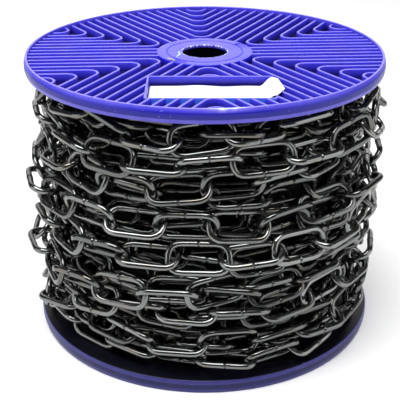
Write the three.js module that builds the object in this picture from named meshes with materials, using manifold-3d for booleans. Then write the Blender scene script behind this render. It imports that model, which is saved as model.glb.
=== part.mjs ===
// A moulded plastic reel wound with long-link welded steel chain, standing on its lower flange.
// Millimetres, +Z up. The origin is on the floor, in the middle of the lower flange.

import * as THREE from 'three';
import { mergeVertices } from 'three/addons/utils/BufferGeometryUtils.js';
import Module from 'manifold-3d';

const wasm = await Module();
wasm.setup();

// ---------------------------------------------------------------- driving dimensions

const clearance = 0.3; // left between pieces that touch

const reelHeight = 185; // over both rims
const flangeRadius = 115;
const flangeHeight = 9; // from the chain side of the plate to the edge of the rim
const plateThickness = 2;
const rimWall = 2.4;

const ribHeight = 5.4; // above the plate
const ribThickness = 1.9;
const ribSpacing = 7.15; // between the centrelines of two parallel ribs
const ribSectors = 6;
const ribTurn = THREE.MathUtils.degToRad(3); // of the rib pattern from the label's pocket
const ribPointRadius = 6.4; // of a V's centreline where its two legs meet

const bossRadius = 31;
const bossWall = 2.2;
const bossCapThickness = 2;
const boreRadius = 14.5; // for the spindle
const bossGrooveRadius = 24.4;
const bossGrooveWidth = 1.2;
const bossGrooveDepth = 0.4;

const catchSlotLength = 11; // the two arc slots over the core tube's catches
const catchSlotWidth = 1.6;
const catchSlotAngles = [29, -126].map(THREE.MathUtils.degToRad); // from +X

const pocketWidth = 72; // the label's pocket, inside its walls, along X
const pocketLength = 38; // along Y
const pocketOffset = 3; // of its middle from the axis, along X
const pocketRimGap = 24; // from the flange's edge to the inside of its outer wall
const pocketWall = 1.5;

const coreTubeWall = 2.5;

const labelThickness = 0.4;
const labelMargin = 2; // of bare floor round the label, between it and the pocket's walls
const labelClimb = 14; // the run over which the label rises to the top of the pocket's wall
const labelLip = 5; // the run that lies over the wall

const chainWire = 4;
const linkWidth = 21;
const linksPerTurn = 20;
const turnsPerLayer = 8;
const windingInset = 10; // from the flange's edge in to the outer turns beside a flange
const windingBulge = 12; // how much fuller the winding is halfway up
const outerLayersDepth = 32; // of the turns that show, measured inwards

const circleSegments = 60; // on every round part of the reel
const pointSegments = 3; // on the round point of a V rib

// ---------------------------------------------------------------- sizes that follow from them

const ribTop = plateThickness + ribHeight;
const halfSector = Math.PI / ribSectors;
const socketRadius = bossRadius - bossWall; // under the boss, where the core tube plugs in
const coreTubeRadius = socketRadius - clearance;
const lowerPlate = flangeHeight; // the chain side of the lower flange's plate
const upperPlate = reelHeight - flangeHeight;

// ---------------------------------------------------------------- materials

const violetPlastic = new THREE.MeshStandardMaterial({ color: 0x4a46c8, roughness: 0.4, metalness: 0 });
const greyTube = new THREE.MeshStandardMaterial({ color: 0x3a3a40, roughness: 0.6, metalness: 0 });
const whitePaper = new THREE.MeshStandardMaterial({ color: 0xf6f6f4, roughness: 0.7, metalness: 0 });
const darkSteel = new THREE.MeshStandardMaterial({ color: 0x3c3c3e, roughness: 0.3, metalness: 0.9 });

// ---------------------------------------------------------------- shape helpers

// A ring turned about Z from a closed outline of [radius, height] corners, which runs
// anticlockwise with the radius to the right and the height up.
function turned(outline, segments = circleSegments) {
  const corners = [...outline, outline[0]].map(([radius, height]) => new THREE.Vector2(radius, height));
  return new THREE.LatheGeometry(corners, segments).rotateX(Math.PI / 2);
}

// A plate with the given outline of [x, y] corners, from one height to another.
function extruded(outline, bottom, top) {
  const shape = new THREE.Shape(outline.map(([x, y]) => new THREE.Vector2(x, y)));
  return new THREE.ExtrudeGeometry(shape, { depth: top - bottom, bevelEnabled: false }).translate(0, 0, bottom);
}

// Corners on an arc about a centre, both ends included.
function arc([x, y], radius, from, to, segments) {
  return Array.from({ length: segments + 1 }, (_, i) => {
    const angle = from + ((to - from) * i) / segments;
    return [x + radius * Math.cos(angle), y + radius * Math.sin(angle)];
  });
}

function rectangle(left, right, front, back) {
  return [[left, front], [right, front], [right, back], [left, back]];
}

function solid(geometry) {
  const bare = geometry.clone();
  bare.deleteAttribute('normal');
  bare.deleteAttribute('uv');
  const merged = mergeVertices(bare, 1e-4);
  const vertProperties = new Float32Array(merged.attributes.position.array);
  const triVerts = new Uint32Array(merged.index.array);
  return new wasm.Manifold(new wasm.Mesh({ numProp: 3, vertProperties, triVerts }));
}

function joined(solids) {
  return solids.reduce((all, next) => all.add(next));
}

function geometryOf(body) {
  const { vertProperties, triVerts } = body.getMesh();
  const geometry = new THREE.BufferGeometry();
  geometry.setAttribute('position', new THREE.BufferAttribute(vertProperties, 3));
  geometry.setIndex(new THREE.BufferAttribute(triVerts, 1));
  geometry.computeVertexNormals();
  return geometry;
}

function piece(name, geometry, material) {
  const mesh = new THREE.Mesh(geometry, material);
  mesh.name = name;
  return mesh;
}

// ---------------------------------------------------------------- flange

// Turned outline of the plate, the rim at its edge and the hollow boss with its bore.
function flangeDisc() {
  const rimInside = flangeRadius - rimWall;
  const capUnderside = ribTop - bossCapThickness;
  const grooveFloor = ribTop - bossGrooveDepth;
  return turned([
    [socketRadius, 0],
    [flangeRadius, 0],
    [flangeRadius, flangeHeight],
    [rimInside, flangeHeight],
    [rimInside, plateThickness],
    [bossRadius, plateThickness],
    [bossRadius, ribTop],
    [bossGrooveRadius + bossGrooveWidth / 2, ribTop],
    [bossGrooveRadius, grooveFloor],
    [bossGrooveRadius - bossGrooveWidth / 2, ribTop],
    [boreRadius, ribTop],
    [boreRadius, capUnderside],
    [socketRadius, capUnderside],
  ]);
}

// One V rib of a sector whose middle lies along +X. Its legs run parallel to the sector's
// two edges, `step` rib spacings inside them, and meet in a round point towards the axis.
function ribV(step) {
  const corner = (step * ribSpacing) / Math.sin(halfSector);
  const centre = [corner + ribPointRadius / Math.sin(halfSector), 0];
  const upper = Math.PI / 2 + halfSector;
  const lower = (3 * Math.PI) / 2 - halfSector;
  const outer = arc(centre, ribPointRadius + ribThickness / 2, upper, lower, pointSegments);
  const inner = arc(centre, ribPointRadius - ribThickness / 2, lower, upper, pointSegments);
  const reach = ([x, y], side) => [
    x + flangeRadius * Math.cos(halfSector),
    y + side * flangeRadius * Math.sin(halfSector),
  ];
  const outline = [
    reach(outer[0], 1),
    ...outer,
    reach(outer[pointSegments], -1),
    reach(inner[0], -1),
    ...inner,
    reach(inner[pointSegments], 1),
  ];
  return extruded(outline, plateThickness / 2, ribTop);
}

// All the ribs between the boss and the rim: a straight one on each sector's edge, and
// nested Vs in each sector for as long as their points fall inside the rim.
function ribs() {
  const spoke = extruded(
    rectangle(0, flangeRadius, -ribThickness / 2, ribThickness / 2), plateThickness / 2, ribTop);
  const lastPoint = flangeRadius - rimWall - ribPointRadius - ribThickness;
  const steps = Math.floor((lastPoint * Math.sin(halfSector)) / ribSpacing);
  const pattern = [];
  for (let sector = 0; sector < ribSectors; sector += 1) {
    const edgeAngle = 2 * sector * halfSector + ribTurn;
    pattern.push(solid(spoke.clone().rotateZ(edgeAngle)));
    for (let step = 1; step <= steps; step += 1) {
      pattern.push(solid(ribV(step).rotateZ(edgeAngle + halfSector)));
    }
  }
  return joined(pattern);
}

// The ring that ribs may fill, ending halfway into the boss's wall and the rim's wall.
function ribRing() {
  const inside = bossRadius - bossWall / 2;
  const outside = flangeRadius - rimWall / 2;
  return turned([[inside, 0], [outside, 0], [outside, flangeHeight], [inside, flangeHeight]]);
}

// A block as large as the label's pocket, grown by `wall` on its four sides.
function pocketBlock(wall, bottom, top) {
  const left = pocketOffset - pocketWidth / 2;
  const front = pocketRimGap - flangeRadius;
  return extruded(
    rectangle(left - wall, left + pocketWidth + wall, front - wall, front + pocketLength + wall),
    bottom, top);
}

// The two slots through the boss's cap, each over the wall of the core tube.
function catchSlots() {
  const radius = coreTubeRadius - coreTubeWall / 2;
  const half = catchSlotLength / 2 / radius;
  const outline = [
    ...arc([0, 0], radius + catchSlotWidth / 2, -half, half, 2),
    ...arc([0, 0], radius - catchSlotWidth / 2, half, -half, 2),
  ];
  const slot = extruded(outline, ribTop - 2 * bossCapThickness, ribTop + bossCapThickness);
  return joined(catchSlotAngles.map((angle) => solid(slot.clone().rotateZ(angle))));
}

function flange() {
  const pocketWalls = solid(pocketBlock(pocketWall, plateThickness / 2, ribTop))
    .subtract(solid(pocketBlock(0, 0, flangeHeight)));
  const ribbing = ribs()
    .subtract(solid(pocketBlock(pocketWall, 0, flangeHeight)))
    .add(pocketWalls)
    .intersect(solid(ribRing()));
  return geometryOf(solid(flangeDisc()).add(ribbing).subtract(catchSlots()));
}

// ---------------------------------------------------------------- core tube and label

function coreTube() {
  const bottom = reelHeight - upperPlate - (ribTop - bossCapThickness) + clearance;
  const top = reelHeight - bottom;
  const bore = coreTubeRadius - coreTubeWall;
  return turned([[bore, bottom], [coreTubeRadius, bottom], [coreTubeRadius, top], [bore, top]]);
}

// The label lies on the pocket's floor, climbs in an S at its right-hand end and rests on
// top of the pocket's wall.
function label() {
  const climbSteps = 6;
  const floor = plateThickness + clearance;
  const rise = ribTop + clearance - floor;
  const left = pocketOffset - pocketWidth / 2;
  const right = left + pocketWidth - clearance;
  const climbStart = right - labelClimb;
  const underside = [[left + labelMargin, floor]];
  for (let i = 0; i <= climbSteps; i += 1) {
    const share = i / climbSteps;
    const height = floor + rise * THREE.MathUtils.smoothstep(share, 0, 1);
    underside.push([climbStart + share * labelClimb, height]);
  }
  underside.push([right + labelLip, ribTop + clearance]);
  const topside = underside.map(([x, z]) => [x, z + labelThickness]).reverse();
  const front = flangeRadius - pocketRimGap;
  return extruded([...underside, ...topside], front - pocketLength + labelMargin, front - labelMargin)
    .rotateX(Math.PI / 2);
}

// ---------------------------------------------------------------- chain

// Radius over the outermost turns at a height: a barrel, fullest halfway up.
function windingRadius(height) {
  const middle = reelHeight / 2;
  const share = (height - middle) / (upperPlate - middle);
  return flangeRadius - windingInset + windingBulge * (1 - share * share);
}

// The turns that show, as one turned solid. Each turn is a band of links, which lie flat
// and stand on edge by turns. A flat link is high along its two straight sides and low in
// its opening, a standing link is one high ridge, and all sink where two links hook together.
function outerTurns() {
  const bottom = lowerPlate + clearance;
  const top = upperPlate - clearance;
  const turnPitch = (top - bottom) / turnsPerLayer;
  const columnsPerLink = 3;
  const bandRows = [-0.41, -0.12, 0.12, 0.41]; // across one turn, in turn pitches
  const standingRise = linkWidth / 4;
  const flatOpening = chainWire;
  const hookSink = chainWire / 2;
  const rows = [];
  for (let turn = 0; turn < turnsPerLayer; turn += 1) {
    bandRows.forEach((across, row) => {
      rows.push({ turn, inner: row === 1 || row === 2, height: bottom + turnPitch * (turn + 0.5 + across) });
    });
  }
  rows[0].height = bottom;
  rows[rows.length - 1].height = top;
  const outline = rows.map(({ height }) => [windingRadius(height), height]);
  outline.push([windingRadius(top) - outerLayersDepth, top]);
  outline.push([windingRadius(reelHeight / 2) - outerLayersDepth, reelHeight / 2]);
  outline.push([windingRadius(bottom) - outerLayersDepth, bottom]);
  const ring = turned(outline, linksPerTurn * columnsPerLink);

  const corners = outline.length + 1;
  const position = ring.attributes.position;
  for (let i = 0; i < position.count; i += 1) {
    const row = rows[(i % corners) % outline.length];
    if (row) {
      const column = Math.floor(i / corners) % (linksPerTurn * columnsPerLink);
      const link = Math.floor(column / columnsPerLink);
      const standing = (link + row.turn) % 2 === 0;
      const hooked = column % columnsPerLink === 0;
      const low = standing === row.inner ? 0 : flatOpening;
      const sink = (standing && !hooked ? 0 : standingRise) + low + (hooked ? hookSink : 0);
      const scale = 1 - sink / windingRadius(row.height);
      position.setXY(i, position.getX(i) * scale, position.getY(i) * scale);
    }
  }
  return ring;
}

// The hidden turns between the core tube and the turns that show, as one plain core.
function innerTurns() {
  const bottom = lowerPlate + clearance;
  const top = upperPlate - clearance;
  const bore = coreTubeRadius + clearance;
  const outside = (height) => windingRadius(height) - outerLayersDepth - clearance;
  return turned([
    [bore, bottom],
    [outside(bottom), bottom],
    [outside(reelHeight / 2), reelHeight / 2],
    [outside(top), top],
    [bore, top],
  ]);
}

// ---------------------------------------------------------------- the reel of chain

const reel = new THREE.Group();

const upperFlange = new THREE.Group();
upperFlange.position.z = upperPlate;
upperFlange.add(piece('flange_upper', flange(), violetPlastic));
upperFlange.add(piece('label', label(), whitePaper));

const lowerFlange = new THREE.Group();
lowerFlange.position.z = lowerPlate;
lowerFlange.rotation.y = Math.PI; // the same moulding turned over
lowerFlange.add(piece('flange_lower', flange(), violetPlastic));

reel.add(upperFlange);
reel.add(lowerFlange);
reel.add(piece('core_tube', coreTube(), greyTube));
reel.add(piece('chain_inner_turns', innerTurns(), darkSteel));
reel.add(piece('chain_outer_turns', outerTurns(), darkSteel));

export default reel;
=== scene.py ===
"""A moulded plastic reel of long-link welded steel chain, in metres, +Z up.

The reel stands on its lower flange. Its two flanges are one moulding, used twice: a plate
with a rim, a hollow boss, nested V ribs and a pocket for a label. The chain is laid turn by
turn, link by link, each link hooked through the one before it and resting on what is under it.
"""

import bpy
import numpy as np
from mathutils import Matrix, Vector


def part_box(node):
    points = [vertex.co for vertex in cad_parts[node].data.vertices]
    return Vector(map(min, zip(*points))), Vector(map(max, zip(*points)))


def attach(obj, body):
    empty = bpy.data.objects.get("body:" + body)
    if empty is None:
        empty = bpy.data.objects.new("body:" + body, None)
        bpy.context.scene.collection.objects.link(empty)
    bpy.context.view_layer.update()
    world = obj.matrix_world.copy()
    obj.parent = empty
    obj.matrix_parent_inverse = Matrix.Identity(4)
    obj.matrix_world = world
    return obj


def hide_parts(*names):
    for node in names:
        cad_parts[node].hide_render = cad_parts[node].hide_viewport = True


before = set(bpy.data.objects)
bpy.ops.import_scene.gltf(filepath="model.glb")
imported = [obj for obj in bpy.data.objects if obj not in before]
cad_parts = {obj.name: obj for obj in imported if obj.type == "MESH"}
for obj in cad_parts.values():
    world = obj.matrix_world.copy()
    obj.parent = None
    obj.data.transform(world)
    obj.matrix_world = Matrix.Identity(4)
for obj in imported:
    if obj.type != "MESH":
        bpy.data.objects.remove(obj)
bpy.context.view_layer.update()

MM = 0.001

# ---------------------------------------------------------------- sizes taken from the frame

FLANGE_LOW, FLANGE_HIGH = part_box("flange_upper")
REEL_HEIGHT = FLANGE_HIGH.z
FLANGE_RADIUS = FLANGE_HIGH.x
FLANGE_HEIGHT = FLANGE_HIGH.z - FLANGE_LOW.z
UPPER_PLATE = FLANGE_LOW.z
LOWER_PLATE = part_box("flange_lower")[1].z
CORE_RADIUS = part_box("core_tube")[1].x
HIDDEN_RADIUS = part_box("chain_inner_turns")[1].x
LABEL_LOW, LABEL_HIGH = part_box("label")

# ---------------------------------------------------------------- sizes of the flange moulding

PLATE = 2 * MM
RIM_WALL = 2.4 * MM
RIM_DRAFT = 0.7 * MM
RIB_TOP = 7.4 * MM
RIB_FOOT_WIDTH = 2.1 * MM
RIB_TOP_WIDTH = 1.7 * MM
RIB_SPACING = 7.15 * MM
RIB_POINT_RADIUS = 6.4 * MM
RIB_TURN = np.radians(3)  # of the rib pattern from the label's pocket
SECTORS = 6
BOSS_RADIUS = 31 * MM
BOSS_CAP = 2 * MM
BORE_RADIUS = 14.5 * MM
GROOVE_RADIUS = 24.4 * MM
GROOVE_WIDTH = 1.2 * MM
GROOVE_DEPTH = 0.25 * MM
SLOT_RADIUS = 27.2 * MM
SLOT_WIDTH = 1.6 * MM
SLOT_LENGTH = 11 * MM
SLOT_DEPTH = 1.8 * MM
SLOT_ANGLES = np.radians([29, -126])
POCKET_LEFT, POCKET_RIGHT = -33 * MM, 39 * MM
POCKET_FRONT, POCKET_BACK = -91 * MM, -53 * MM
POCKET_WALL = 1.5 * MM
SEATING = 0.8 * MM  # how far a rib's end runs into the wall that it meets
FOOT_DEPTH = 0.4 * MM  # how far a rib's or a wall's foot is sunk into the plate
TUBE_CLEARANCE = 0.3 * MM  # round the core tube where it is plugged into the boss
SEGMENTS = 480  # round the flange
SHORTEST_RIB = 3 * MM
PAST_RIM = 1.1  # radii to which a rib's path is drawn, before it is cut at the rim
RIM_BAND = 0.27  # of the rim's height, next to the plate, that is painted paler, with more painted light
NICK_ANGLE = np.radians(-84.5)  # of the chipped place on the upper rim
NICK_HALF_ANGLE = np.radians(3.0)
NICK_DEPTH = 0.3 * MM
FLASH_DEPTH = 0.25 * MM  # of the ragged edge round the bore
FLECK_ANGLES = np.radians([-148, -131])  # of the fleck of glue in the slot circle
FLECK_GRID = (15, 7)

# ---------------------------------------------------------------- sizes of the label

PAPER = 0.25 * MM
LABEL_OUT_LEFT = 1.6 * MM  # how far it reaches past the frame's box at its left end
LABEL_SHORT_BACK = 2 * MM  # how far it stops short of the frame's box at its back
LABEL_CLIMB = 7 * MM  # the run over which it rises to the top of the pocket's wall
LABEL_CUT_ACROSS = [0, 0.35, 0.93, 1]  # places across its cut end, as shares of its width
LABEL_CUT_REACH = [-3.7, 1.6, -1, -3.2]  # millimetres past the frame's box at those places
LABEL_COCKLE = 0.3 * MM
LABEL_GRID = (101, 41)

# ---------------------------------------------------------------- sizes of the chain

WIRE = 4 * MM
LINK_LENGTH = 40 * MM
LINK_WIDTH = 21 * MM
LINK_PITCH = LINK_LENGTH - 2 * WIRE
BEND_RADIUS = (LINK_WIDTH - WIRE) / 2
HALF_STRAIGHT = LINK_PITCH / 2 + WIRE / 2 - BEND_RADIUS
BEND_SQUARENESS = 2.4  # 2 would be a half circle
TURN_PITCH = 19 * MM  # between neighbouring turns of one layer
LAYERS = 3
DRUM_TAPER = 12 * MM  # how much thinner the turns underneath are beside a flange
FULL_RADIUS = 120 * MM  # that the links keep inside halfway up
FULL_TAPER = 9 * MM
WANDER = 1.1 * MM  # how much a turn strays up or down at each link
WANDER_KEPT = 0.9  # share of the last link's straying that the next one keeps
MOST_TWIST = 0.75  # radians away from square to the last link
MOST_SLACK = 2.5 * MM  # in the hook between two links
FLANGE_DWELL = [6.3, 8.0, 12.4, 3.0]  # radians run along a flange before each turning back
CLEAR_ENOUGH = (0.5 * MM) ** 2  # overlap, squared and summed over a link, that can stay
TOUCHING = 0.99 * WIRE  # between the middles of two wires that only touch
NEARBY = 1.9 * LINK_PITCH  # within which other links can be in the way
TRIES = (240, 80, 80)  # ways to lie that are tried in each round
REACHES = (9 * MM, 16 * MM)  # how far in or out a link may lie, at first and then if it must
MOST_DRIFT = 14 * MM  # up or down along one link
DRIFT_SPREAD = 4 * MM
FINER_SLACK = 0.5 * MM  # spreads of the rounds that crowd round the best way
FINER_PLACE = MM
FINER_TWIST = 0.12
SQUEEZE = 0.3  # weight of what stands past the full radius, which gives a little
FLANGE_GAP = 0.33 * LINK_WIDTH  # from a flange to the middle of the turn along it
MOST_RELAYS = 40  # in the whole winding
LAID_AGAIN = 4  # links that are taken up when the next one can't lie clear
SCORCH = 0.4 * MM  # along the wire, on either side of a weld
LOOSE_SHARE = 0.03  # of the top layer's links that stand out
LOOSE_HEIGHT = 7 * MM
OVERLAP_COST = 4e6  # per square metre of overlap, and the other costs of a way to lie:
OUTWARD_COST = 300  # per metre from the axis
HEIGHT_COST = 4e5  # per square metre from the goal height
RADIUS_COST = 9e4  # per square metre from the goal radius
TWIST_COST = 0.02  # per square radian


# ---------------------------------------------------------------- meshes from arrays


def grid_faces(rows, columns, wrap_rows=False, wrap_columns=False):
    """Quads over a grid of points numbered row by row, joined round where a direction wraps."""
    r = np.arange(rows if wrap_rows else rows - 1)[:, None]
    c = np.arange(columns if wrap_columns else columns - 1)[None, :]
    next_r, next_c = (r + 1) % rows, (c + 1) % columns
    corners = [
        r * columns + c,
        next_r * columns + c,
        next_r * columns + next_c,
        r * columns + next_c,
    ]
    return np.stack([np.broadcast_to(k, (r.size, c.size)) for k in corners], -1).reshape(-1, 4)


def mesh_piece(name, parts, material, attributes=None, sharp_angle=None):
    """One object from several (points, faces) parts, where faces is a list of index arrays and
    each part's indices are moved on by the number of points before it."""
    points, faces, start = [], [], 0
    for part_points, part_faces in parts:
        points.append(part_points.reshape(-1, 3))
        for group in part_faces:
            faces.append(np.asarray(group) + start)
        start += len(points[-1])
    points = np.concatenate(points)
    mesh = bpy.data.meshes.new(name)
    mesh.vertices.add(len(points))
    mesh.vertices.foreach_set("co", points.astype(np.float32).ravel())
    sizes = np.concatenate([np.full(len(group), group.shape[1]) for group in faces])
    loops = np.concatenate([group.ravel() for group in faces])
    mesh.loops.add(len(loops))
    mesh.loops.foreach_set("vertex_index", loops.astype(np.int32))
    mesh.polygons.add(len(sizes))
    mesh.polygons.foreach_set("loop_start", (np.cumsum(sizes) - sizes).astype(np.int32))
    mesh.polygons.foreach_set("use_smooth", np.ones(len(sizes), bool))
    for key, values in (attributes or {}).items():
        values = np.asarray(values, np.float32)
        kind, field = ("FLOAT_VECTOR", "vector") if values.ndim == 2 else ("FLOAT", "value")
        layer = mesh.attributes.new(key, kind, "POINT")
        layer.data.foreach_set(field, values.ravel())
    mesh.update(calc_edges=True)
    mesh.validate()
    if sharp_angle is not None:
        mesh.set_sharp_from_angle(angle=np.radians(sharp_angle))
    mesh.materials.append(material)
    piece = bpy.data.objects.new(name, mesh)
    bpy.context.scene.collection.objects.link(piece)
    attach(piece, "root")
    return piece


def rounded(corners, steps=3):
    """An outline through [a, b, radius] corners, each corner's radius drawn as an arc that is
    tangent to both of its sides: the arc's centre lies on the corner's bisector."""
    corners = np.array(corners, float)
    outline = []
    neighbours = zip(np.roll(corners, 1, 0), corners, np.roll(corners, -1, 0))
    for before, (a, b, radius), after in neighbours:
        corner = np.array([a, b])
        if radius == 0:
            outline.append(corner)
            continue
        into, out = before[:2] - corner, after[:2] - corner
        into, out = into / np.hypot(*into), out / np.hypot(*out)
        half = np.arccos(np.clip(into @ out, -1, 1)) / 2
        centre = corner + (into + out) / np.hypot(*(into + out)) * radius / np.sin(half)
        first = corner + into * radius / np.tan(half) - centre
        last = corner + out * radius / np.tan(half) - centre
        share = np.linspace(0, 1, steps + 1)[:, None]
        spread = np.arccos(np.clip(first @ last / radius**2, -1, 1))
        arc = (np.sin((1 - share) * spread) * first + np.sin(share * spread) * last) / np.sin(spread)
        outline.extend(centre + arc)
    return np.array(outline)


# ---------------------------------------------------------------- flange


def boss_slot_depth(radius, angle):
    """Depth of the two arc slots: full where the radius is within half a slot's width of the
    slot circle and the arc from a slot's middle is within half its length, and nought elsewhere."""
    depth = np.zeros(np.broadcast(radius, angle).shape)
    for middle in SLOT_ANGLES:
        turn = np.abs((angle - middle + np.pi) % (2 * np.pi) - np.pi)
        in_arc = turn * SLOT_RADIUS < SLOT_LENGTH / 2
        depth += np.where(in_arc & (np.abs(radius - SLOT_RADIUS) < SLOT_WIDTH / 2), SLOT_DEPTH, 0)
    return depth


def flange_outline():
    """Half of the plate, rim and boss cut through the axis, as points of radius and height."""
    rim_inside = FLANGE_RADIUS - RIM_WALL
    cap_underside = RIB_TOP - BOSS_CAP
    tube_seat = CORE_RADIUS + TUBE_CLEARANCE
    slot_out, slot_in = SLOT_RADIUS + SLOT_WIDTH / 2, SLOT_RADIUS - SLOT_WIDTH / 2
    sliver = 0.05 * MM  # across a slot's side, from its top edge to its floor
    band = RIM_BAND * FLANGE_HEIGHT
    return rounded([
        (tube_seat, 0, 0),
        (FLANGE_RADIUS - RIM_DRAFT, 0, 0.9 * MM),
        (FLANGE_RADIUS - 0.1 * MM, band, 0),
        (FLANGE_RADIUS, band + 0.5 * MM, 0),
        (FLANGE_RADIUS - 0.05 * MM, 0.65 * FLANGE_HEIGHT, 3 * MM),
        (FLANGE_RADIUS - 0.9 * MM, FLANGE_HEIGHT, 0.5 * MM),
        (rim_inside, FLANGE_HEIGHT, 0.5 * MM),
        (rim_inside, PLATE, 0.6 * MM),
        (BOSS_RADIUS, PLATE, 0.6 * MM),
        (BOSS_RADIUS - 0.2 * MM, RIB_TOP, 0.5 * MM),
        (slot_out, RIB_TOP, 0),
        (slot_out - sliver, RIB_TOP, 0),
        (slot_in + sliver, RIB_TOP, 0),
        (slot_in, RIB_TOP, 0),
        (GROOVE_RADIUS + GROOVE_WIDTH / 2, RIB_TOP, 0.2 * MM),
        (GROOVE_RADIUS, RIB_TOP - GROOVE_DEPTH, 0.3 * MM),
        (GROOVE_RADIUS - GROOVE_WIDTH / 2, RIB_TOP, 0.2 * MM),
        (BORE_RADIUS + MM, RIB_TOP, 0),
        (BORE_RADIUS, RIB_TOP, 0.35 * MM),
        (BORE_RADIUS, cap_underside, 0.3 * MM),
        (tube_seat, cap_underside, 0),
    ])


def disc_looks(radius, height, angle, on_cap, at_bore):
    """Two looks for each point of the disc. Wear and sheen falls off exponentially from the rim's
    edge as a painted highlight, with a share of painted sheen on the boss, a paler share on the
    rim's band, and white torn plastic in waves of the angle round the bore. Painted shading runs
    from the shadow tone at nought
    to the high tone at one: it grows with the fourth power of the height up the rim, is even on what
    stands up from the plate, and is raised on the rim's band."""
    on_rim = radius > FLANGE_RADIUS - RIM_DRAFT - 0.1 * MM
    on_band = on_rim & (height < (RIM_BAND + 0.01) * FLANGE_HEIGHT)
    near_rim = radius > FLANGE_RADIUS - 2 * RIM_WALL
    # painted highlight along the rim's top edge, painted sheen on the boss's cap, and a paler rim
    # band
    edge = np.exp(-np.abs(height - FLANGE_HEIGHT) / (0.35 * MM)) * near_rim
    wear_and_sheen = np.maximum(edge, 0.45 * on_cap)
    wear_and_sheen = np.maximum(wear_and_sheen, 0.4 * on_band)
    torn = 0.75 + 0.5 * np.sin(6 * angle + 1) * np.sin(15 * angle) + 0.35 * np.sin(37 * angle)
    wear_and_sheen = wear_and_sheen + np.maximum(torn, 0) * 1.5 * (at_bore & (height > RIB_TOP - 0.5 * MM))
    # painted shading: the shadow tone low on the rim and on the plate between the ribs, rising to
    # the high tone at the rim's top, on the boss and on the rim's band
    painted_shading = np.where(on_rim, 0.15 + 0.65 * np.clip(height / FLANGE_HEIGHT, 0, 1) ** 4, 0.0)
    painted_shading = np.where((height > PLATE + MM) & ~on_rim, 0.6, painted_shading) + 0.2 * on_band + 0 * angle
    return wear_and_sheen, painted_shading


def flange_disc(chipped):
    """The plate, rim and boss: the outline turned about the axis, with the slots sunk into the
    boss and a ragged edge of flash round its bore, whose radius is less by products of sines of
    the angle. A chipped one has a nick in its rim, which is lowered by a bell curve of the angle
    times a fine wave. Each point has the two looks that disc_looks works out."""
    outline = flange_outline()
    angle = np.linspace(-np.pi, np.pi, SEGMENTS, endpoint=False)[:, None]
    radius, height = outline[None, :, 0], outline[None, :, 1]
    on_cap = (height > RIB_TOP - 0.01 * MM) & (radius < BOSS_RADIUS)
    on_lip = (height > FLANGE_HEIGHT - 0.6 * MM) & (radius > FLANGE_RADIUS - 1.7 * MM)
    at_bore = np.abs(radius - BORE_RADIUS) < 0.5 * MM
    wear_and_sheen, painted_shading = disc_looks(radius, height, angle, on_cap, at_bore)
    height = height - np.where(on_cap, boss_slot_depth(radius, angle), 0)
    wave = np.sin(17 * angle) * np.sin(5 * angle + 1) + 0.5 * np.sin(41 * angle)
    ragged = FLASH_DEPTH * wave
    radius = radius - np.where(at_bore & (height > RIB_TOP - 0.5 * MM), ragged, 0)
    if chipped:
        nick = np.exp(-(((angle - NICK_ANGLE) / NICK_HALF_ANGLE) ** 2)) * on_lip
        nick = nick * (0.7 + 0.3 * np.sin(100 * angle))
        height = height - NICK_DEPTH * nick
        frayed = np.exp(-(((angle - NICK_ANGLE) / (3 * NICK_HALF_ANGLE)) ** 2)) * on_lip
        wear_and_sheen = wear_and_sheen + 1.3 * nick + 0.5 * frayed
    points = np.stack([radius * np.cos(angle), radius * np.sin(angle), height + 0 * angle], -1)
    faces = grid_faces(SEGMENTS, len(outline), True, True)
    looks = np.stack([np.broadcast_to(wear_and_sheen, painted_shading.shape), painted_shading], -1)
    return points.reshape(-1, 3), [faces], looks.reshape(-1, 2)


def fleck_on_boss():
    """A thin smear of glue along the slot circle: a shallow mound, a cosine across its width
    and along its length, with a wavy outline."""
    along = np.linspace(-1, 1, FLECK_GRID[0])[:, None]
    across = np.linspace(-1, 1, FLECK_GRID[1])[None, :]
    angle = FLECK_ANGLES.mean() + along * np.diff(FLECK_ANGLES) / 2
    rounding = np.sqrt(np.maximum(1 - along**2, 0.02))
    half_width = 0.8 * MM * rounding * (1 + 0.2 * np.sin(9 * along))
    radius = SLOT_RADIUS + 0.7 * MM + half_width * across
    mound = 0.35 * MM * np.cos(along * np.pi / 2) * np.cos(across * np.pi / 2)
    height = RIB_TOP - 0.05 * MM + mound
    return np.stack([radius * np.cos(angle), radius * np.sin(angle), height], -1)


def curl_of_flash():
    """A curl of flash torn off the bore's edge: a thin triangle carried along a curve whose
    radius grows as the angle turns, with a wave in it."""
    turn = np.linspace(0, 1, 15)
    angle = np.radians(186 + 34 * turn)
    radius = BORE_RADIUS + (1.6 + 6 * turn**2 + 0.8 * np.sin(9 * turn)) * MM
    path = np.stack([radius * np.cos(angle), radius * np.sin(angle)], 1)
    section = np.array([[-0.5, -0.1], [0.5, -0.1], [0.1, 0.7]]) * MM + [0, RIB_TOP]
    points, faces, _ = carried(path, section)
    # torn white plastic, at the high end of the painted shading
    torn_and_painted_lit = [2.0, 1.0]
    return points, faces, np.full((len(points), 2), torn_and_painted_lit)


def rib_section():
    """A rib cut across: drafted sides, rounded top edges, its foot sunk into the plate."""
    foot, top = RIB_FOOT_WIDTH / 2, RIB_TOP_WIDTH / 2
    return rounded([
        (-foot, PLATE - FOOT_DEPTH, 0),
        (foot, PLATE - FOOT_DEPTH, 0),
        (top, RIB_TOP, 0.45 * MM),
        (-top, RIB_TOP, 0.45 * MM),
    ])


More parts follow.
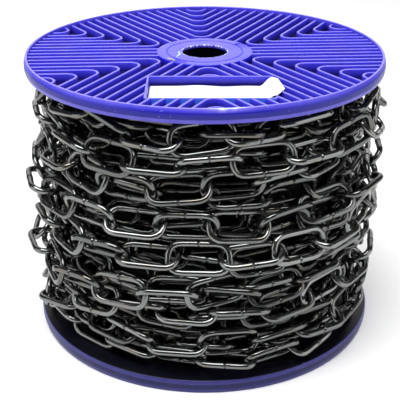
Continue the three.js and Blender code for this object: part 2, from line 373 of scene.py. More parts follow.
def carried(path, section, closed=False):
    """A section of (sideways, up) points carried along a level path: each point of the path
    plus its sideways normal times the section's offset, stretched at bends so that the width
    stays the same. An open path is closed with an end cap at both ends. Each point's looks are
    a painted highlight, which falls off exponentially from the top edge, and painted shading, which
    grows with height from the shadow tone to the high tone."""
    ahead = np.roll(path, -1, 0) - path
    ahead /= np.linalg.norm(ahead, axis=1, keepdims=True)
    behind = np.roll(ahead, 1, 0)
    if not closed:
        ahead[-1], behind[0] = behind[-1], ahead[0]
    tangent = ahead + behind
    tangent /= np.linalg.norm(tangent, axis=1, keepdims=True)
    least_cosine = 0.3
    stretch = 1 / np.maximum((tangent * ahead).sum(1), least_cosine)
    normal = np.stack([tangent[:, 1], -tangent[:, 0]], 1) * stretch[:, None]
    level = path[:, None] + normal[:, None] * section[None, :, :1]
    up = np.broadcast_to(section[:, 1], level.shape[:2])
    points = np.concatenate([level, up[..., None]], -1)
    rows, columns = points.shape[:2]
    faces = [grid_faces(rows, columns, closed, True)[:, ::-1]]
    if not closed:
        first = np.arange(columns)[None, :]
        faces += [first, (first + (rows - 1) * columns)[:, ::-1]]
    # painted highlight along the rib's rounded top edge; painted shading that is darker down by the
    # plate
    wear_and_sheen = 0.85 * np.exp(-np.abs(up - RIB_TOP) / (0.3 * MM))
    painted_shading = np.clip((up - PLATE) / (RIB_TOP - PLATE), 0, 1)
    return points.reshape(-1, 3), faces, np.stack([wear_and_sheen, painted_shading], -1).reshape(-1, 2)


def v_path(step):
    """The centreline of a sector's V rib, for a sector whose middle lies along +X: two legs
    parallel to the sector's edges, `step` spacings inside them, joined by an arc."""
    half_sector = np.pi / SECTORS
    centre = (step * RIB_SPACING + RIB_POINT_RADIUS) / np.sin(half_sector)
    angle = np.linspace(np.pi / 2 + half_sector, 3 * np.pi / 2 - half_sector, 11)
    across, up = centre + RIB_POINT_RADIUS * np.cos(angle), RIB_POINT_RADIUS * np.sin(angle)
    arc = np.stack([across, up], 1)
    leg = PAST_RIM * FLANGE_RADIUS * np.array([np.cos(half_sector), np.sin(half_sector)])
    return np.concatenate([arc[:1] + leg, arc, arc[-1:] + leg * [1, -1]])


def kept_runs(path):
    """The stretches of a rib's path that lie between the boss and the rim and outside the
    label's pocket, each run a little way into the wall that it ends on."""
    length = np.concatenate([[0], np.cumsum(np.linalg.norm(np.diff(path, axis=0), axis=1))])
    fine = np.arange(0, length[-1], 0.1 * MM)
    x, y = np.interp(fine, length, path[:, 0]), np.interp(fine, length, path[:, 1])
    radius = np.hypot(x, y)
    wall = POCKET_WALL - SEATING
    in_pocket = (x > POCKET_LEFT - wall) & (x < POCKET_RIGHT + wall)
    in_pocket &= (y > POCKET_FRONT - wall) & (y < POCKET_BACK + wall)
    kept = (radius > BOSS_RADIUS - SEATING) & (radius < FLANGE_RADIUS - RIM_WALL + SEATING)
    kept &= ~in_pocket
    steps = np.diff(np.concatenate([[0], kept.astype(int), [0]]))
    runs = []
    for start, stop in zip(np.flatnonzero(steps == 1), np.flatnonzero(steps == -1) - 1):
        if fine[stop] - fine[start] > SHORTEST_RIB:
            inner = (length > fine[start]) & (length < fine[stop])
            first, last = [[x[start], y[start]]], [[x[stop], y[stop]]]
            runs.append(np.concatenate([first, path[inner], last]))
    return runs


def turned_level(path, angle):
    """A level path turned about the axis: each point times the rotation matrix of the angle."""
    cos, sin = np.cos(angle), np.sin(angle)
    return path @ np.array([[cos, sin], [-sin, cos]])


def flange_ribs():
    """Every rib of a flange: a straight one on each sector's edge and the nested Vs between."""
    section = rib_section()
    half_sector = np.pi / SECTORS
    last = FLANGE_RADIUS - RIM_WALL - RIB_POINT_RADIUS - RIB_FOOT_WIDTH
    steps = int(last * np.sin(half_sector) / RIB_SPACING)
    spoke = np.array([[0, 0], [PAST_RIM * FLANGE_RADIUS, 0]])
    parts = []
    for sector in range(SECTORS):
        edge = 2 * sector * half_sector + RIB_TURN
        paths = [turned_level(spoke, edge)]
        paths += [turned_level(v_path(step), edge + half_sector) for step in range(1, steps + 1)]
        parts += [carried(run, section) for path in paths for run in kept_runs(path)]
    return parts


def pocket_walls():
    """The four walls of the label's pocket: a narrow rib section carried round a rectangle."""
    half = POCKET_WALL / 2
    top = half * 0.9
    section = rounded([
        (-half, PLATE - FOOT_DEPTH, 0),
        (half, PLATE - FOOT_DEPTH, 0),
        (top, RIB_TOP, 0.4 * MM),
        (-top, RIB_TOP, 0.4 * MM),
    ])
    left, right = POCKET_LEFT - half, POCKET_RIGHT + half
    front, back = POCKET_FRONT - half, POCKET_BACK + half
    path = rounded([
        (left, front, MM),
        (right, front, MM),
        (right, back, MM),
        (left, back, MM),
    ])
    return carried(path, section, closed=True)


def painted_backlight_wall(points, wall_points):
    """Which of a flange's points are on the outer face of the pocket's front wall, below its
    top edge, where a clearer blue is painted as light from the pocket coming through. The walls are
    the last points."""
    x, y, z = points.T
    lit = (y < POCKET_FRONT - 0.2 * MM) & (y > POCKET_FRONT - POCKET_WALL - 0.1 * MM)
    lit &= (x > POCKET_LEFT) & (x < POCKET_RIGHT) & (z < RIB_TOP - 0.1 * MM)
    lit[:-wall_points] = False
    return lit


def flange_pieces(upper_material, lower_material):
    """The upper flange, and the lower one turned over about the Y axis."""
    shared = [*flange_ribs(), pocket_walls()]
    upper = [flange_disc(chipped=True), curl_of_flash(), *shared]
    lower = [flange_disc(chipped=False), *shared]
    for name, node, parts, plate, side, material in (
        ("upper_flange", "flange_upper", upper, UPPER_PLATE, 1, upper_material),
        ("lower_flange", "flange_lower", lower, LOWER_PLATE, -1, lower_material),
    ):
        placed = [(points * [side, 1, side] + [0, 0, plate], faces) for points, faces, _ in parts]
        wear_and_sheen, painted_shading = np.concatenate([looks for _, _, looks in parts]).T
        unplaced = np.concatenate([points for points, _, _ in parts])
        walls, _, _ = parts[-1]
        # the looks: real wear with painted highlights and sheen, painted shading, and the painted
        # backlight on the pocket's wall
        looks = {"wear_and_sheen": wear_and_sheen, "painted_shading": painted_shading, "painted_backlight": painted_backlight_wall(unplaced, len(walls))}
        piece = mesh_piece(name, placed, material, looks, sharp_angle=50)
        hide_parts(node)


def fleck_piece(material):
    """The smear of glue as a piece: its grid lifted to the upper flange and thickened."""
    points = fleck_on_boss() + [0, 0, UPPER_PLATE]
    piece = mesh_piece("glue_fleck", [(points, [grid_faces(*FLECK_GRID)])], material)
    solidify = piece.modifiers.new("fleck_thickness", "SOLIDIFY")
    solidify.thickness = 0.15 * MM
    solidify.offset = -1


# ---------------------------------------------------------------- label


def label_piece(material):
    """The label: a sheet whose height is a smooth step from the pocket's floor to the top of
    its wall, with a slight cockle. Its right-hand end runs to a length that is worked out
    straight between four places across it, so that its corners are cut off."""
    along = np.linspace(0, 1, LABEL_GRID[0])[:, None]
    across = np.linspace(0, 1, LABEL_GRID[1])[None, :]
    low, high = np.array(LABEL_LOW), np.array(LABEL_HIGH)
    low[0] -= LABEL_OUT_LEFT
    high[1] -= LABEL_SHORT_BACK
    end = high[0] + np.interp(across, LABEL_CUT_ACROSS, LABEL_CUT_REACH) * MM
    x = low[0] + (end - low[0]) * along
    y = low[1] + (high[1] - low[1]) * across + 0.5 * MM * np.sin(7 * along) * across
    climb = np.clip((x - (POCKET_RIGHT - LABEL_CLIMB)) / LABEL_CLIMB, 0, 1)
    rise = high[2] - low[2] - 0.4 * MM
    z = low[2] + 0.1 * MM + rise * climb**2 * (3 - 2 * climb)
    cockle = LABEL_COCKLE * (1 + np.sin(15 * along + 2 * across))
    z = z + cockle * (1 - climb) * np.sin(np.pi * along)
    points = np.stack(np.broadcast_arrays(x, y, z), -1)
    piece = mesh_piece("blank_label", [(points, [grid_faces(*LABEL_GRID)])], material)
    solidify = piece.modifiers.new("paper_thickness", "SOLIDIFY")
    solidify.thickness = PAPER
    solidify.offset = 1
    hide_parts("label")


# ---------------------------------------------------------------- how the chain lies


def link_ring(bend_steps, straight_steps):
    """Points on a link's centreline, in the link's own plane, where it is tested while it is
    laid: two half circles of the bend radius, and two straight sides between them."""
    bend = np.linspace(-np.pi / 2, np.pi / 2, bend_steps + 1)
    right = np.stack([HALF_STRAIGHT + BEND_RADIUS * np.cos(bend), BEND_RADIUS * np.sin(bend)], 1)
    run = np.linspace(HALF_STRAIGHT, -HALF_STRAIGHT, straight_steps + 2)[1:-1]
    top = np.stack([run, np.full(straight_steps, BEND_RADIUS)], 1)
    return np.concatenate([right, top, -right, -top])


def wire_distance(points, centre, axis, normal):
    """Distance from points to the centrelines of links: in a link's plane the centreline is
    one bend radius away from the middle segment, so the distance is the hypotenuse of what is
    left of that in the plane and of the height over the plane."""
    offset = points[..., None, :] - centre
    along = np.abs((offset * axis).sum(-1))
    over = (offset * normal).sum(-1)
    aside = np.maximum((offset * offset).sum(-1) - along**2 - over**2, 0)
    in_plane = np.sqrt(np.maximum(along - HALF_STRAIGHT, 0) ** 2 + aside) - BEND_RADIUS
    return np.hypot(in_plane, over)


def barrel(height, fullest, taper):
    """Radius of a barrel at a height between the flanges: fullest halfway up, and less by the
    taper times the cube of the share of the way from there to a flange."""
    middle = (LOWER_PLATE + UPPER_PLATE) / 2
    share = np.minimum(np.abs(height - middle) / (UPPER_PLATE - middle), 1)
    return fullest - taper * share**3


def link_tries(draw, tries, last, best, goal, reach):
    """Ways in which the next link could lie: the slack in its hook, the radius and height of its
    far end and its twist about its own axis. A first round is spread widely, and later rounds
    crowd round the best.

    The near end is where the last link ends, less the slack. The far end is one pitch away, so
    its bearing follows from the cosine rule on the two radii and the level distance. The link's
    plane is square to the last link's, but for the twist."""
    last_x, last_y, last_height = last["end"]
    if best is None:
        slack = draw.uniform(0, MOST_SLACK, tries) ** 2 / MOST_SLACK
        end_radius = np.hypot(last_x, last_y) + draw.uniform(-reach, reach, tries)
        drift = goal - last_height + draw.normal(0, DRIFT_SPREAD, tries)
        end_height = last_height + np.clip(drift, -MOST_DRIFT, MOST_DRIFT)
        twist = draw.uniform(-MOST_TWIST, MOST_TWIST, tries)
    else:
        slack = np.clip(best["slack"] + draw.normal(0, FINER_SLACK, tries), 0, MOST_SLACK)
        end_radius = best["end_radius"] + draw.normal(0, FINER_PLACE, tries)
        end_height = best["end_height"] + draw.normal(0, FINER_PLACE, tries)
        twist = best["twist"] + draw.normal(0, FINER_TWIST, tries)
        twist = np.clip(twist, -MOST_TWIST, MOST_TWIST)
    start = last["end"] - slack[:, None] * last["axis"]
    radius, bearing = np.hypot(start[:, 0], start[:, 1]), np.arctan2(start[:, 1], start[:, 0])
    level_squared = LINK_PITCH**2 - (end_height - start[:, 2]) ** 2
    cosine = (radius**2 + end_radius**2 - level_squared) / (2 * radius * end_radius)
    far = bearing + np.arccos(np.clip(cosine, -1, 1))
    end = np.stack([end_radius * np.cos(far), end_radius * np.sin(far), end_height], 1)
    axis = (end - start) / LINK_PITCH
    square = np.cross(axis, last["normal"])
    square /= np.linalg.norm(square, axis=1, keepdims=True)
    normal = square * np.cos(twist)[:, None] + np.cross(square, axis) * np.sin(twist)[:, None]
    return {
        "slack": slack,
        "end_radius": end_radius,
        "end_height": end_height,
        "twist": twist,
        "end": end,
        "axis": axis,
        "normal": normal,
        "centre": (start + end) / 2,
    }


def link_cost(way, ring, placed, goal, goal_radius, floor, ceiling):
    """What each way of lying costs: the depths to which its wire would run into other links, the
    turns underneath, the flanges or past the full radius, squared, then the squares of its twist
    and of how far it lies from its goal height and goal radius, and how far out it lies."""
    side = np.cross(way["normal"], way["axis"])
    wire = way["centre"][:, None] + way["axis"][:, None] * ring[:, :1]
    wire = wire + side[:, None] * ring[:, 1:]
    out = np.hypot(wire[..., 0], wire[..., 1])
    sunk = np.maximum(barrel(wire[..., 2], HIDDEN_RADIUS, DRUM_TAPER) + WIRE / 2 - out, 0)
    past = np.maximum(floor - wire[..., 2], 0) + np.maximum(wire[..., 2] - ceiling, 0)
    past += SQUEEZE * np.maximum(out - barrel(wire[..., 2], FULL_RADIUS, FULL_TAPER), 0)
    clash = np.maximum(TOUCHING - wire_distance(wire, *placed), 0)
    overlap = (sunk**2 + past**2).sum(1) + (clash**2).sum((1, 2))
    cost = OVERLAP_COST * overlap + OUTWARD_COST * (out.mean(1) + way["end_radius"])
    off_height = HEIGHT_COST * (way["end_height"] - goal) ** 2
    off_radius = RADIUS_COST * (way["end_radius"] - goal_radius) ** 2
    cost += off_height + off_radius
    return cost + TWIST_COST * way["twist"] ** 2, overlap


def turn_heights(low, high):
    """The bearings at which the winding starts and stops climbing, and its heights there: up and
    down between the flanges at one turn pitch per turn, with a stretch laid flat against a
    flange each time."""
    climb = (high - low) / TURN_PITCH * 2 * np.pi
    stages = np.stack([FLANGE_DWELL, [climb] * LAYERS + [0]], 1).ravel()
    heights = np.resize([low, high, high, low], 2 * LAYERS + 2)
    return np.concatenate([[0], np.cumsum(stages)]), np.concatenate([[low], heights])


def lay_link(draw, ring, chain, last, goal, goal_radius, floor, ceiling):
    """The cheapest of many ways for the next link to lie. If it would still run into something,
    it gets another wide round with a longer reach."""
    keys = ("centre", "axis", "normal")
    placed = [np.array([link[key] for link in chain]).reshape(-1, 3) for key in keys]
    near = ((placed[0] - last["end"]) ** 2).sum(1) < NEARBY**2
    placed = [values[near] for values in placed]
    best = None
    for reach in REACHES:
        crowd = None
        for tries in TRIES:
            way = link_tries(draw, tries, last, crowd, goal, reach)
            cost, overlap = link_cost(way, ring, placed, goal, goal_radius, floor, ceiling)
            cheapest = int(np.argmin(cost))
            if crowd is None or cost[cheapest] < crowd["cost"]:
                crowd = {key: values[cheapest] for key, values in way.items()}
                crowd.update(cost=cost[cheapest], overlap=overlap[cheapest])
        if best is None or crowd["cost"] < best["cost"]:
            best = crowd
        if best["overlap"] < CLEAR_ENOUGH:
            break
    return best


def wind_chain(seed=3):
    """Lays the chain link by link over the turns underneath, to and fro between the flanges.
    Where the next link can't lie clear, the last few are taken up and laid again, up to a
    number of times in all, and after that it is left running into others. A few links of the
    top layer are left standing out."""
    draw = np.random.default_rng(seed)
    ring = link_ring(bend_steps=6, straight_steps=3)
    floor, ceiling = LOWER_PLATE + WIRE / 2, UPPER_PLATE - WIRE / 2
    low, high = floor + FLANGE_GAP, ceiling - FLANGE_GAP
    bearings, heights = turn_heights(low, high)
    first = {
        "end": np.array([HIDDEN_RADIUS - DRUM_TAPER / 2, 0, low]),
        "axis": np.array([0, 1.0, 0]),
        "normal": np.array([1.0, 0, 0]),
        "bearing": 0.0,
        "wander": 0.0,
    }
    chain, relays = [], 0
    while True:
        last = chain[-1] if chain else first
        radius = np.hypot(last["end"][0], last["end"][1])
        bearing = last["bearing"] + LINK_PITCH / radius
        if bearing > bearings[-1]:
            break
        layer = min(int(np.searchsorted(bearings, bearing) - 1) // 2, LAYERS - 1)
        wander = WANDER_KEPT * last["wander"] + draw.normal(0, WANDER)
        goal = np.clip(np.interp(bearing, bearings, heights) + wander, low, high)
        loose = layer == LAYERS - 1 and draw.uniform() < LOOSE_SHARE
        goal_radius = radius + (LOOSE_HEIGHT if loose else 0)
        link = lay_link(draw, ring, chain, last, goal, goal_radius, floor, ceiling)
        blocked = link["overlap"] > CLEAR_ENOUGH
        if blocked and relays < MOST_RELAYS and len(chain) > LAID_AGAIN:
            relays += 1
            del chain[-LAID_AGAIN:]
            continue
        link.update(bearing=bearing, wander=wander, layer=layer)
        chain.append(link)
    keys = ("centre", "axis", "normal", "layer")
    return {key: np.array([link[key] for link in chain]) for key in keys}


# ---------------------------------------------------------------- the links


def link_stations(bend_steps, straight_steps, from_weld):
    """Points on a link's centreline in its own plane, from the weld on one straight side round
    to the weld again. Each end is half of a superellipse: the cosine and sine of the angle,
    raised to 2 over the squareness, times the bend radius."""
    angle = np.linspace(-np.pi / 2, np.pi / 2, bend_steps + 1)
    power = 2 / BEND_SQUARENESS
    reach = BEND_RADIUS * np.abs(np.cos(angle)) ** power
    rise = BEND_RADIUS * np.sign(angle) * np.abs(np.sin(angle)) ** power
    right = np.stack([HALF_STRAIGHT + reach, rise], 1)
    run = np.linspace(HALF_STRAIGHT, -HALF_STRAIGHT, straight_steps + 2)[1:-1]
    far_side = np.stack([run, np.full(straight_steps, BEND_RADIUS)], 1)
    away = np.stack([from_weld, np.full(len(from_weld), -BEND_RADIUS)], 1)
    mirrored = [-1, 1]
    return np.concatenate([away, right, far_side, right[::-1] * mirrored, away[:0:-1] * mirrored])


def weld_swell(along):
    """How much thicker the wire is at a distance from its weld: a low swelling, less a narrow
    groove with a raised burr on either side of it."""
    swelling = 0.05 * np.exp(-((along / (2.6 * MM)) ** 2))
    burr = 0.08 * np.exp(-(((along - 0.8 * MM) / (0.4 * MM)) ** 2))
    groove = 0.16 * np.exp(-((along / (0.35 * MM)) ** 2))
    return 1 + swelling + burr - groove


def chain_links(name, links, steps, sides, tone_and_shade_ranges, material):
    """Every link of one layer as a joined mesh: a circle of the wire's radius carried round
    the link's centreline. "wire" holds each point's place on its own straightened wire, a
    length and two offsets, moved on by a different length for each link. "weld" is a bell curve
    of the distance from the weld, and each link's tone is a number drawn from its layer's range,
    lower on deeper layers as painted shade."""
    centre, axis, normal = links
    draw = np.random.default_rng(len(centre))  # so each layer has draws of its own
    normal = normal * draw.choice([-1, 1], len(centre))[:, None]
    side = np.cross(normal, axis)
    stations = link_stations(*steps)
    ahead = np.roll(stations, -1, 0) - np.roll(stations, 1, 0)
    ahead /= np.linalg.norm(ahead, axis=1, keepdims=True)
    outward = np.stack([ahead[:, 1], -ahead[:, 0]], 1)
    length = np.concatenate([[0], np.cumsum(np.linalg.norm(np.diff(stations, axis=0), axis=1))])
    from_weld = np.minimum(length, length[-1] - length)
    around = np.linspace(0, 2 * np.pi, sides, endpoint=False)
    radius = WIRE / 2 * weld_swell(from_weld)[:, None]
    flat = stations[:, None] + outward[:, None] * (radius * np.cos(around))[..., None]
    over = radius * np.sin(around)
    points = (
        centre[:, None, None]
        + axis[:, None, None] * flat[None, ..., :1]
        + side[:, None, None] * flat[None, ..., 1:]
        + normal[:, None, None] * over[None, ..., None]
    )
    count = len(stations) * sides
    faces = grid_faces(len(stations), sides, True, True)
    all_faces = (faces[None] + np.arange(len(centre))[:, None, None] * count).reshape(-1, 4)
    on_wire = np.stack(np.broadcast_arrays(length[:, None], radius * np.cos(around), over), -1)
    moved_on = draw.uniform(0, 10, (len(centre), 1, 1)) * [1.0, 0, 0]
    weld = np.repeat(np.exp(-((from_weld / SCORCH) ** 2)), sides)
    attributes = {
        "wire": (on_wire.reshape(1, -1, 3) + moved_on).reshape(-1, 3),
        "weld": np.tile(weld, len(centre)),
        "tone_and_painted_shade": np.repeat(draw.uniform(*tone_and_shade_ranges, len(centre)), count),
    }
    piece = mesh_piece(name, [(points, [all_faces])], material, attributes)
    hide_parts("chain_outer_turns")


def chain_pieces(material):
    """The layers of links, with more faces on the ones that show more: steps round a bend and
    along a straight side, places near the weld, and sides of the wire's circle."""
    chain = wind_chain()
    coarse = np.array([0, 1, 3]) * MM
    finer = np.array([0, 0.5, 1.2, 4]) * MM
    finest = np.array([0, 0.35, 0.8, 1.5, 3, 6]) * MM
    # each layer's range of link tone: random within it, and lower for the deeper layers as painted
    # shade
    for layer, (name, steps, sides, tone_and_shade_ranges) in enumerate((
        ("chain_under_turns", (5, 1, coarse), 8, (0, 0.1)),
        ("chain_middle_turns", (7, 2, finer), 10, (0, 0.5)),
        ("chain_top_turns", (9, 3, finest), 12, (0.3, 1)),
    )):
        chosen = chain["layer"] == layer
        links = [chain[key][chosen] for key in ("centre", "axis", "normal")]
        chain_links(name, links, steps, sides, tone_and_shade_ranges, material)


# ---------------------------------------------------------------- materials


class Finish:
    """A material in the making: short ways to add the few kinds of node used here."""

    def __init__(self, name):
        self.material = bpy.data.materials.new(name)
        self.material.use_nodes = True
        self.nodes = self.material.node_tree.nodes
        self.links = self.material.node_tree.links
        self.surface = self.nodes["Principled BSDF"]
        self.place = self.nodes.new("ShaderNodeTexCoord").outputs["Object"]

    def put(self, socket, value):
        """A socket is linked if the value comes from another node, and set if it is a number."""
        if isinstance(value, bpy.types.NodeSocket):
            self.links.new(value, socket)
        else:
            socket.default_value = value

    def attribute(self, name, output="Fac"):
        """One of the piece's own attributes."""
        node = self.nodes.new("ShaderNodeAttribute")
        node.attribute_name = name
        return node.outputs[output]

    def stretched(self, vector, scale):
        """A place multiplied by a scale on each axis, so that a pattern runs along an axis."""
        node = self.nodes.new("ShaderNodeMapping")
        self.links.new(vector, node.inputs["Vector"])
        node.inputs["Scale"].default_value = scale
        return node.outputs["Vector"]

    def noise(self, vector, scale, detail=3):
        """Cloudy noise with `scale` patches per metre."""
        node = self.nodes.new("ShaderNodeTexNoise")
        self.links.new(vector, node.inputs["Vector"])
        node.inputs["Scale"].default_value = scale
        node.inputs["Detail"].default_value = detail
        return node.outputs["Fac"]

    def span(self, value, low, high, to_low=0.0, to_high=1.0):
        """A value's span from low to high, mapped onto another in a straight line and clamped."""
        node = self.nodes.new("ShaderNodeMapRange")
        self.links.new(value, node.inputs["Value"])
        node.inputs["From Min"].default_value = low
        node.inputs["From Max"].default_value = high
        node.inputs["To Min"].default_value = to_low
        node.inputs["To Max"].default_value = to_high
        return node.outputs["Result"]

    def mixed(self, share, first, second):
        """The first colour, with this share of the second."""
        node = self.nodes.new("ShaderNodeMix")
        node.data_type = "RGBA"
        self.put(node.inputs["Factor"], share)
        self.put(node.inputs["A"], first)
        self.put(node.inputs["B"], second)
        return node.outputs["Result"]

    def bump(self, height, strength, distance):
        """A fine relief on the surface."""
        node = self.nodes.new("ShaderNodeBump")
        self.links.new(height, node.inputs["Height"])
        node.inputs["Strength"].default_value = strength
        node.inputs["Distance"].default_value = distance
        self.links.new(node.outputs["Normal"], self.surface.inputs["Normal"])

    def set(self, **sockets):
        """The surface's sockets by name, with underscores for spaces."""
        for key, value in sockets.items():
            self.put(self.surface.inputs[key.replace("_", " ").title()], value)


def violet_plastic(name, shadow, deep, clear, painted_high_tone, edge):
    """Moulded plastic: a cloudy mix of two tints, with painted shading from the shadow tone down
    between the ribs to the high tone at their tops, paler where painted highlights and sheen
    fall on edges and the boss and where the nick is worn, white where it is torn, with dust
    specks, a fine moulded grain, and a painted backlight of clearer blue on the pocket's thin wall."""
    finish = Finish(name)
    wear_and_sheen = finish.attribute("wear_and_sheen")
    painted_shading = finish.attribute("painted_shading")
    colour = finish.mixed(finish.noise(finish.place, 22, 5), deep, clear)
    # painted shading: the shadow tone where shading is low, the high tone where it is high
    colour = finish.mixed(finish.span(painted_shading, 0, 0.45), shadow, colour)
    colour = finish.mixed(finish.span(painted_shading, 0.45, 1), colour, painted_high_tone)
    # painted backlight: a clearer blue painted on the pocket's front wall as light coming through it
    painted_light_through = (0.03, 0.17, 0.90, 1)
    colour = finish.mixed(finish.attribute("painted_backlight"), colour, painted_light_through)
    scratches = finish.noise(finish.stretched(finish.place, (1, 5, 1)), 90, 4)
    scuffed = finish.span(scratches, 0.35, 0.75, 0.75, 1.15)
    wear_and_sheen_amount = finish.nodes.new("ShaderNodeMath")
    wear_and_sheen_amount.operation = "MULTIPLY"
    finish.put(wear_and_sheen_amount.inputs[0], wear_and_sheen)
    finish.put(wear_and_sheen_amount.inputs[1], scuffed)
    # the edge tone: painted highlights and sheen on edges and the boss, and real wear at the nick
    colour = finish.mixed(finish.span(wear_and_sheen_amount.outputs["Value"], 0, 1), colour, edge)
    torn_white, dust_grey = (0.62, 0.78, 1, 1), (0.5, 0.5, 0.6, 1)
    colour = finish.mixed(finish.span(wear_and_sheen_amount.outputs["Value"], 1.1, 1.6), colour, torn_white)
    dust = finish.span(finish.noise(finish.place, 700, 1), 0.74, 0.80, 0, 0.35)
    colour = finish.mixed(dust, colour, dust_grey)
    roughness = finish.span(finish.noise(finish.place, 60, 3), 0.3, 0.7, 0.30, 0.42)
    finish.set(base_color=colour, roughness=roughness)
    finish.surface.inputs["Specular IOR Level"].default_value = 0.35
    finish.bump(finish.noise(finish.place, 1500, 2), 0.12, 0.1 * MM)
    return finish.material


def tube_plastic():
    """The core tube: dull grey-violet plastic with drawn lines along its length."""
    finish = Finish("drawn_tube_plastic")
    lines = finish.noise(finish.stretched(finish.place, (1, 1, 0.03)), 400, 3)
    cloud = finish.noise(finish.place, 30, 4)
    colour = finish.mixed(cloud, (0.03, 0.028, 0.09, 1), (0.05, 0.045, 0.13, 1))
    finish.set(base_color=colour, roughness=finish.span(lines, 0.3, 0.7, 0.45, 0.6))
    finish.bump(lines, 0.2, 0.1 * MM)
    return finish.material


def label_paper():
    """White coated paper: a faint mottle, fibres as a fine bump."""
    finish = Finish("white_label_paper")
    mottle = finish.noise(finish.place, 250, 4)
    colour = finish.mixed(mottle, (0.90, 0.91, 0.90, 1), (0.80, 0.82, 0.82, 1))
    finish.set(base_color=colour, roughness=finish.span(mottle, 0.3, 0.7, 0.5, 0.62))
    finish.bump(finish.noise(finish.stretched(finish.place, (1, 3, 1)), 2500, 3), 0.15, 0.05 * MM)
    return finish.material


def dried_glue():
    """The fleck of glue: pale ochre, with darker clouds in it."""
    finish = Finish("dried_glue")
    cloud = finish.noise(finish.place, 900, 3)
    colour = finish.mixed(cloud, (0.30, 0.27, 0.17, 1), (0.55, 0.52, 0.38, 1))
    finish.set(base_color=colour, roughness=finish.span(cloud, 0.3, 0.7, 0.4, 0.6))
    return finish.material


def chain_steel():
    """Black-finished drawn wire: lines run along the wire, each link is a little lighter or
    darker, with painted shade on the deeper layers, oil leaves warm stains, and the weld is
    scorched."""
    finish = Finish("black_finished_steel")
    wire = finish.attribute("wire", "Vector")
    lines = finish.noise(finish.stretched(wire, (40, 1600, 1600)), 1, 3)
    blotches = finish.noise(finish.stretched(wire, (90, 300, 300)), 1, 3)
    dark, light = (0.07, 0.073, 0.074, 1), (0.25, 0.257, 0.255, 1)
    oil_brown = (0.19, 0.155, 0.11, 1)
    line_black, weld_black = (0.05, 0.05, 0.05, 1), (0.02, 0.02, 0.02, 1)
    # each link's tone between dark and light: random, and held dark on the deeper layers as painted
    # shade
    colour = finish.mixed(finish.attribute("tone_and_painted_shade"), dark, light)
    colour = finish.mixed(finish.span(blotches, 0.54, 0.72, 0, 0.55), colour, oil_brown)
    colour = finish.mixed(finish.span(lines, 0.25, 0.6, 0.25, 0), colour, line_black)
    colour = finish.mixed(finish.span(finish.attribute("weld"), 0, 1, 0, 0.75), colour, weld_black)
    roughness = finish.span(lines, 0.3, 0.7, 0.12, 0.22)
    finish.set(base_color=colour, metallic=1.0, roughness=roughness)
    finish.bump(lines, 0.2, 0.05 * MM)
    return finish.material


def hidden_steel():
    """The turns too deep to show as links: painted shade, near black and barely glossy, with faint
    level streaks.
    """
    finish = Finish("hidden_steel")
    streaks = finish.noise(finish.stretched(finish.place, (30, 30, 260)), 1, 3)
    # painted shade: near black for turns that lie deep in shade
    painted_shade_black, dull_black = (0.003, 0.003, 0.003, 1), (0.02, 0.02, 0.019, 1)
    colour = finish.mixed(finish.span(streaks, 0.5, 0.75), painted_shade_black, dull_black)
    finish.set(base_color=colour, roughness=finish.span(streaks, 0.3, 0.7, 0.8, 0.6))
    finish.surface.inputs["Specular IOR Level"].default_value = 0.1
    finish.bump(streaks, 0.6, MM)
    return finish.material


def refinish(node, material):
    """A new material on a solid that is kept as the frame has it."""
    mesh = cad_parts[node].data
    mesh.materials.clear()
    mesh.materials.append(material)


# ---------------------------------------------------------------- camera, floor and light


def add_camera():
    """The camera looks down at the middle of the reel from its label's side: it stands back from
    the target by a distance, turned up by an elevation."""
    distance = 5.639 * FLANGE_RADIUS
    elevation = np.radians(25.22)
    target = Vector((-0.026 * FLANGE_RADIUS, 0, 0.4194 * REEL_HEIGHT))
    lens = bpy.data.cameras.new("camera")
    lens.lens = 84.5
    lens.sensor_width = 36
    lens.clip_start = 0.01
    camera = bpy.data.objects.new("camera", lens)
    camera.location = target + distance * Vector((0, -np.cos(elevation), np.sin(elevation)))
    camera.rotation_euler = (target - camera.location).to_track_quat("-Z", "Y").to_euler()
    bpy.context.scene.collection.objects.link(camera)
    bpy.context.scene.camera = camera


def add_softbox(name, place, size, power):
    """A rectangular light of a given width and height, aimed at the middle of the reel."""
    aim = Vector((0, 0, 0.09))
    lamp = bpy.data.lights.new(name, "AREA")
    lamp.shape = "RECTANGLE"
    lamp.size, lamp.size_y = size
    lamp.energy = power
    box = bpy.data.objects.new(name, lamp)
    box.location = place
    box.rotation_euler = (aim - box.location).to_track_quat("-Z", "Y").to_euler()
    bpy.context.scene.collection.objects.link(box)


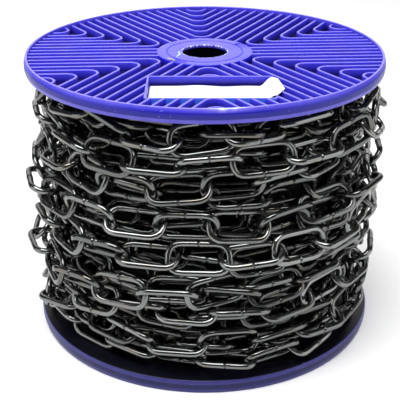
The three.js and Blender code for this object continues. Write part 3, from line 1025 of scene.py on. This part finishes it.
def add_studio():
    """A pale floor, one large softbox overhead, and dim white panels behind and beside the
    reel, whose reflections lighten what is seen at a slant."""
    finish = Finish("pale_floor")
    finish.set(base_color=(0.92, 0.92, 0.92, 1), roughness=0.9)
    finish.set(emission_color=(1, 1, 1, 1), emission_strength=0.12)
    reach = 6.0
    corners = [(-reach, -reach, 0), (reach, -reach, 0), (reach, reach, 0), (-reach, reach, 0)]
    mesh = bpy.data.meshes.new("floor")
    mesh.from_pydata(corners, [], [(0, 1, 2, 3)])
    mesh.materials.append(finish.material)
    floor = bpy.data.objects.new("floor", mesh)
    bpy.context.scene.collection.objects.link(floor)
    world = bpy.data.worlds.new("studio")
    world.use_nodes = True
    sky = world.node_tree.nodes["Background"]
    sky.inputs["Color"].default_value = (1, 1, 1, 1)
    sky.inputs["Strength"].default_value = 0.07
    bpy.context.scene.world = world
    add_softbox("softbox_top", (-0.15, -0.25, 1.3), (1.2, 1.0), 27)
    add_softbox("panel_back", (0.0, 1.5, 0.7), (2.4, 1.2), 9)
    add_softbox("panel_left", (-1.25, -0.45, 0.45), (1.2, 0.8), 5)
    add_softbox("panel_right", (1.25, -0.45, 0.45), (1.2, 0.8), 5)
    bpy.context.scene.view_settings.view_transform = "Standard"


# ---------------------------------------------------------------- the reel

upper_plastic = violet_plastic(
    "violet_moulded_plastic",
    # on the upper flange the shadow tone is painted shadow and the high tone painted light
    shadow=(0.006, 0.004, 0.07, 1),
    deep=(0.011, 0.009, 0.46, 1),
    clear=(0.017, 0.014, 0.55, 1),
    painted_high_tone=(0.022, 0.020, 0.80, 1),
    edge=(0.25, 0.21, 0.80, 1),
)
# the lower flange: the same plastic with painted shade, every tint darker, near black on its plate
# and darkest at the rim's lip by the floor
lower_plastic = violet_plastic(
    "violet_plastic_painted_shade",
    shadow=(0.001, 0.001, 0.006, 1),
    deep=(0.009, 0.008, 0.15, 1),
    clear=(0.012, 0.011, 0.19, 1),
    painted_high_tone=(0.006, 0.006, 0.06, 1),
    edge=(0.08, 0.075, 0.28, 1),
)
flange_pieces(upper_plastic, lower_plastic)
fleck_piece(dried_glue())
label_piece(label_paper())
chain_pieces(chain_steel())
refinish("core_tube", tube_plastic())
refinish("chain_inner_turns", hidden_steel())
add_camera()
add_studio()
